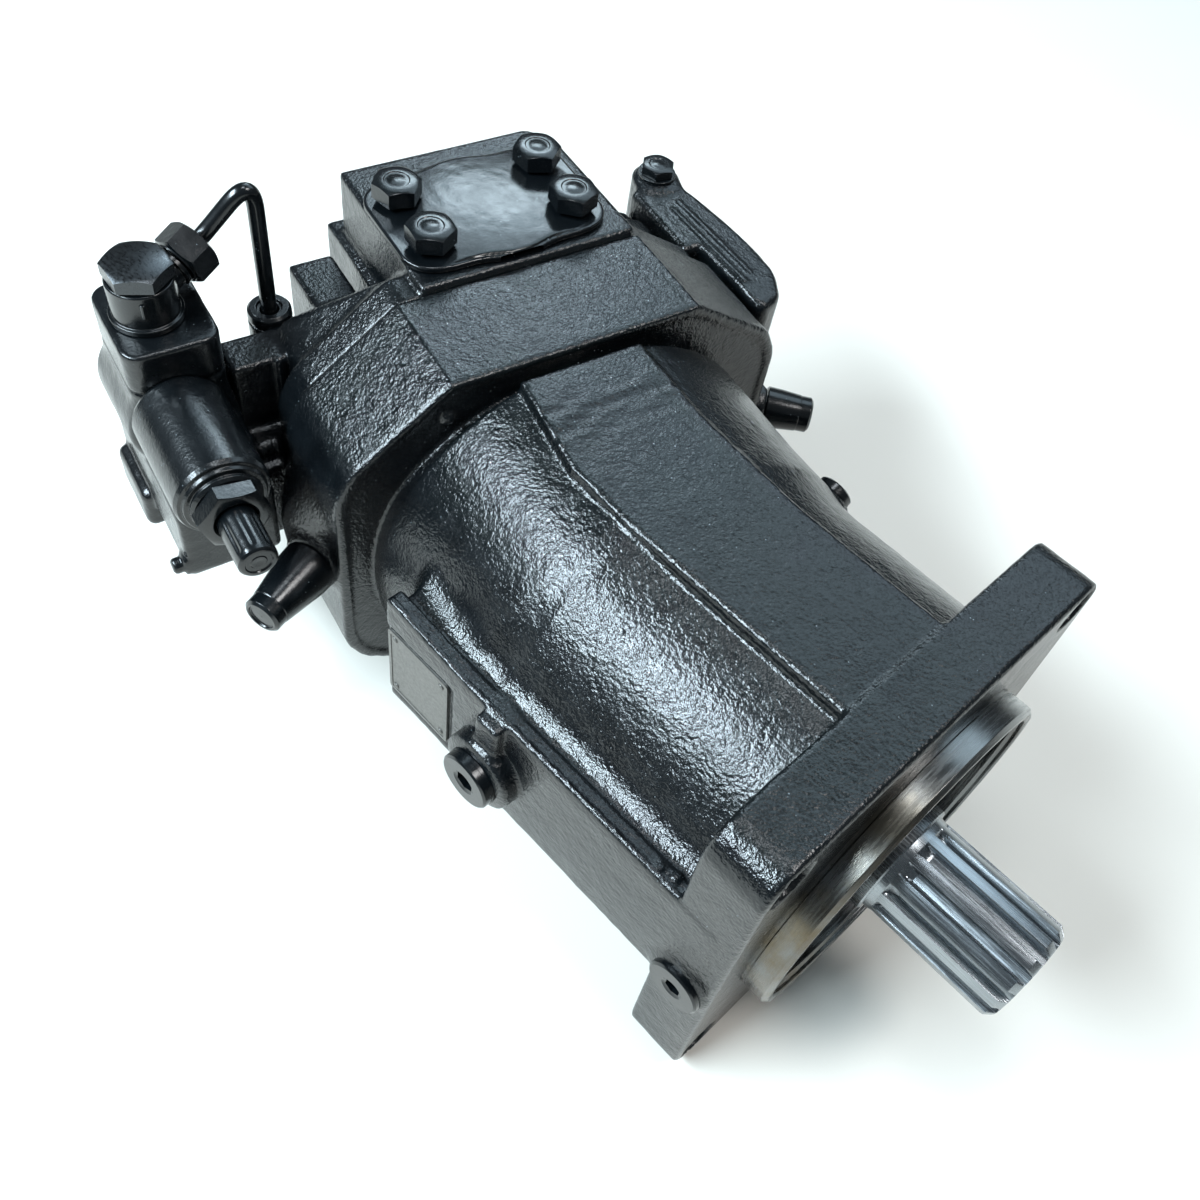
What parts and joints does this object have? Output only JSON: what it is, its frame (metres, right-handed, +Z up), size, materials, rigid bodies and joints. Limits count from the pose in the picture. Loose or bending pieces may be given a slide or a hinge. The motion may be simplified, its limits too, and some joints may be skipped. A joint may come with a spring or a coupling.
{
  "type": "axial piston pump",
  "caption": "Bent-axis variable axial piston pump: square four-bolt flange with pilot, splined shaft, ribbed barrel, angled rear port block and control valve.",
  "frame": {"origin": "middle of the bounding box underside, level with the flat bottom of the flange", "axes": "+X along the drive shaft towards its splined end, +Z up towards the covered port, +Y towards the side valve"},
  "size_m": [0.4308, 0.3064, 0.2149],
  "materials": {
    "black_paint": "gloss black paint over sand-cast iron",
    "shaft_steel": "bright machined steel",
    "bearing_steel": "ground steel",
    "cast_steel": "machined grey iron",
    "bronze": "machined bronze",
    "plate": "blank satin plate",
    "seal_rubber": "matt black rubber",
    "spring_steel": "drawn steel wire and bright screws"
  },
  "bodies": {
    "casing": {"port_plate": "black_paint", "stroke_plug_left": "cast_steel", "stroke_plug_right": "cast_steel", "top_port_cover": "black_paint", "top_cover_screw_1": "black_paint", "top_cover_screw_2": "black_paint", "top_cover_screw_3": "black_paint", "top_cover_screw_4": "black_paint", "stop_screw_left": "spring_steel", "stop_cap_left": "black_paint", "stop_screw_right": "spring_steel", "stop_cap_right": "black_paint", "control_body": "black_paint", "spring_cylinder": "black_paint", "lock_nut": "black_paint", "control_spring": "spring_steel", "banjo_ring": "black_paint", "banjo_screw": "black_paint", "pipe_nut": "black_paint", "signal_pipe": "black_paint", "pipe_fitting": "black_paint", "side_valve_body": "black_paint", "side_valve_screw": "black_paint", "housing": "black_paint", "drain_plug": "black_paint", "flange_plug": "black_paint", "side_plug": "black_paint", "name_plate": "plate", "front_bearing_cup": "bearing_steel", "rear_bearing_cup": "bearing_steel", "seal_cover": "black_paint", "shaft_seal": "seal_rubber", "snap_ring": "spring_steel"},
    "shaft": {"drive_shaft": "shaft_steel", "retaining_plate": "cast_steel", "front_bearing_cone": "bearing_steel", "rear_bearing_cone": "bearing_steel"},
    "lens": {"control_lens": "cast_steel", "swivel_pin": "bearing_steel"},
    "block": {"cylinder_block": "bronze", "centre_pin": "bearing_steel", "block_spring": "spring_steel"},
    "stroker": {"stroking_piston": "cast_steel"},
    "spool": {"control_spool": "bearing_steel"},
    "adjuster": {"adjusting_screw": "black_paint"},
    "ball_1": {"piston_ball_1": "bearing_steel"},
    "rod_1": {"piston_1": "bearing_steel"},
    "ball_2": {"piston_ball_2": "bearing_steel"},
    "rod_2": {"piston_2": "bearing_steel"},
    "ball_3": {"piston_ball_3": "bearing_steel"},
    "rod_3": {"piston_3": "bearing_steel"},
    "ball_4": {"piston_ball_4": "bearing_steel"},
    "rod_4": {"piston_4": "bearing_steel"},
    "ball_5": {"piston_ball_5": "bearing_steel"},
    "rod_5": {"piston_5": "bearing_steel"},
    "ball_6": {"piston_ball_6": "bearing_steel"},
    "rod_6": {"piston_6": "bearing_steel"},
    "ball_7": {"piston_ball_7": "bearing_steel"},
    "rod_7": {"piston_7": "bearing_steel"}
  },
  "joints": [
    {"name": "shaft_spin", "type": "hinge", "parent": "casing", "child": "shaft", "pos_m": [0.08243, -0.01941, 0.093], "axis": [1, 0, 0], "continuous": true},
    {"name": "block_swivel", "type": "hinge", "parent": "casing", "child": "lens", "pos_m": [0.02243, -0.01941, 0.093], "axis": [0, 0, 1], "range_deg": [-13, 12]},
    {"name": "block_spin", "type": "hinge", "parent": "lens", "child": "block", "pos_m": [0.02243, -0.01941, 0.093], "axis": [0.9744, -0.225, 0], "continuous": true},
    {"name": "stroke_slide", "type": "slide", "parent": "casing", "child": "stroker", "axis": [0.225, 0.9744, 0], "range_m": [-0.044, 0.044]},
    {"name": "spool_slide", "type": "slide", "parent": "casing", "child": "spool", "axis": [0.9744, -0.225, 0], "range_m": [-0.003, 0]},
    {"name": "adjusting_screw_turn", "type": "hinge", "parent": "casing", "child": "adjuster", "pos_m": [-0.09743, -0.1385, 0.143], "axis": [0.9744, -0.225, 0], "continuous": true},
    {"name": "ball_turn_1", "type": "hinge", "parent": "shaft", "child": "ball_1", "pos_m": [0.02243, -0.01941, 0.133], "axis": [1, 0, 0], "continuous": true},
    {"name": "rod_tilt_1", "type": "hinge", "parent": "ball_1", "child": "rod_1", "pos_m": [0.02243, -0.01941, 0.133], "axis": [0, 0, 1], "range_deg": [-13, 12]},
    {"name": "ball_turn_2", "type": "hinge", "parent": "shaft", "child": "ball_2", "pos_m": [0.02243, -0.05068, 0.11794], "axis": [1, 0, 0], "continuous": true},
    {"name": "rod_tilt_2", "type": "hinge", "parent": "ball_2", "child": "rod_2", "pos_m": [0.02243, -0.05068, 0.11794], "axis": [0, 0, 1], "range_deg": [-13, 12]},
    {"name": "ball_turn_3", "type": "hinge", "parent": "shaft", "child": "ball_3", "pos_m": [0.02243, -0.0584, 0.0841], "axis": [1, 0, 0], "continuous": true},
    {"name": "rod_tilt_3", "type": "hinge", "parent": "ball_3", "child": "rod_3", "pos_m": [0.02243, -0.0584, 0.0841], "axis": [0, 0, 1], "range_deg": [-13, 12]},
    {"name": "ball_turn_4", "type": "hinge", "parent": "shaft", "child": "ball_4", "pos_m": [0.02243, -0.03676, 0.05696], "axis": [1, 0, 0], "continuous": true},
    {"name": "rod_tilt_4", "type": "hinge", "parent": "ball_4", "child": "rod_4", "pos_m": [0.02243, -0.03676, 0.05696], "axis": [0, 0, 1], "range_deg": [-13, 12]},
    {"name": "ball_turn_5", "type": "hinge", "parent": "shaft", "child": "ball_5", "pos_m": [0.02243, -0.00205, 0.05696], "axis": [1, 0, 0], "continuous": true},
    {"name": "rod_tilt_5", "type": "hinge", "parent": "ball_5", "child": "rod_5", "pos_m": [0.02243, -0.00205, 0.05696], "axis": [0, 0, 1], "range_deg": [-13, 12]},
    {"name": "ball_turn_6", "type": "hinge", "parent": "shaft", "child": "ball_6", "pos_m": [0.02243, 0.01959, 0.0841], "axis": [1, 0, 0], "continuous": true},
    {"name": "rod_tilt_6", "type": "hinge", "parent": "ball_6", "child": "rod_6", "pos_m": [0.02243, 0.01959, 0.0841], "axis": [0, 0, 1], "range_deg": [-13, 12]},
    {"name": "ball_turn_7", "type": "hinge", "parent": "shaft", "child": "ball_7", "pos_m": [0.02243, 0.01187, 0.11794], "axis": [1, 0, 0], "continuous": true},
    {"name": "rod_tilt_7", "type": "hinge", "parent": "ball_7", "child": "rod_7", "pos_m": [0.02243, 0.01187, 0.11794], "axis": [0, 0, 1], "range_deg": [-13, 12]}
  ],
  "couplings": [
    {"joint": "block_spin", "follows": "shaft_spin", "ratio": 1},
    {"joint": "stroke_slide", "follows": "block_swivel", "m_per_rad": -0.188},
    {"joint": "ball_turn_1", "follows": "shaft_spin", "ratio": -1},
    {"joint": "rod_tilt_1", "follows": "block_swivel", "ratio": 1},
    {"joint": "ball_turn_2", "follows": "shaft_spin", "ratio": -1},
    {"joint": "rod_tilt_2", "follows": "block_swivel", "ratio": 1},
    {"joint": "ball_turn_3", "follows": "shaft_spin", "ratio": -1},
    {"joint": "rod_tilt_3", "follows": "block_swivel", "ratio": 1},
    {"joint": "ball_turn_4", "follows": "shaft_spin", "ratio": -1},
    {"joint": "rod_tilt_4", "follows": "block_swivel", "ratio": 1},
    {"joint": "ball_turn_5", "follows": "shaft_spin", "ratio": -1},
    {"joint": "rod_tilt_5", "follows": "block_swivel", "ratio": 1},
    {"joint": "ball_turn_6", "follows": "shaft_spin", "ratio": -1},
    {"joint": "rod_tilt_6", "follows": "block_swivel", "ratio": 1},
    {"joint": "ball_turn_7", "follows": "shaft_spin", "ratio": -1},
    {"joint": "rod_tilt_7", "follows": "block_swivel", "ratio": 1}
  ]
}
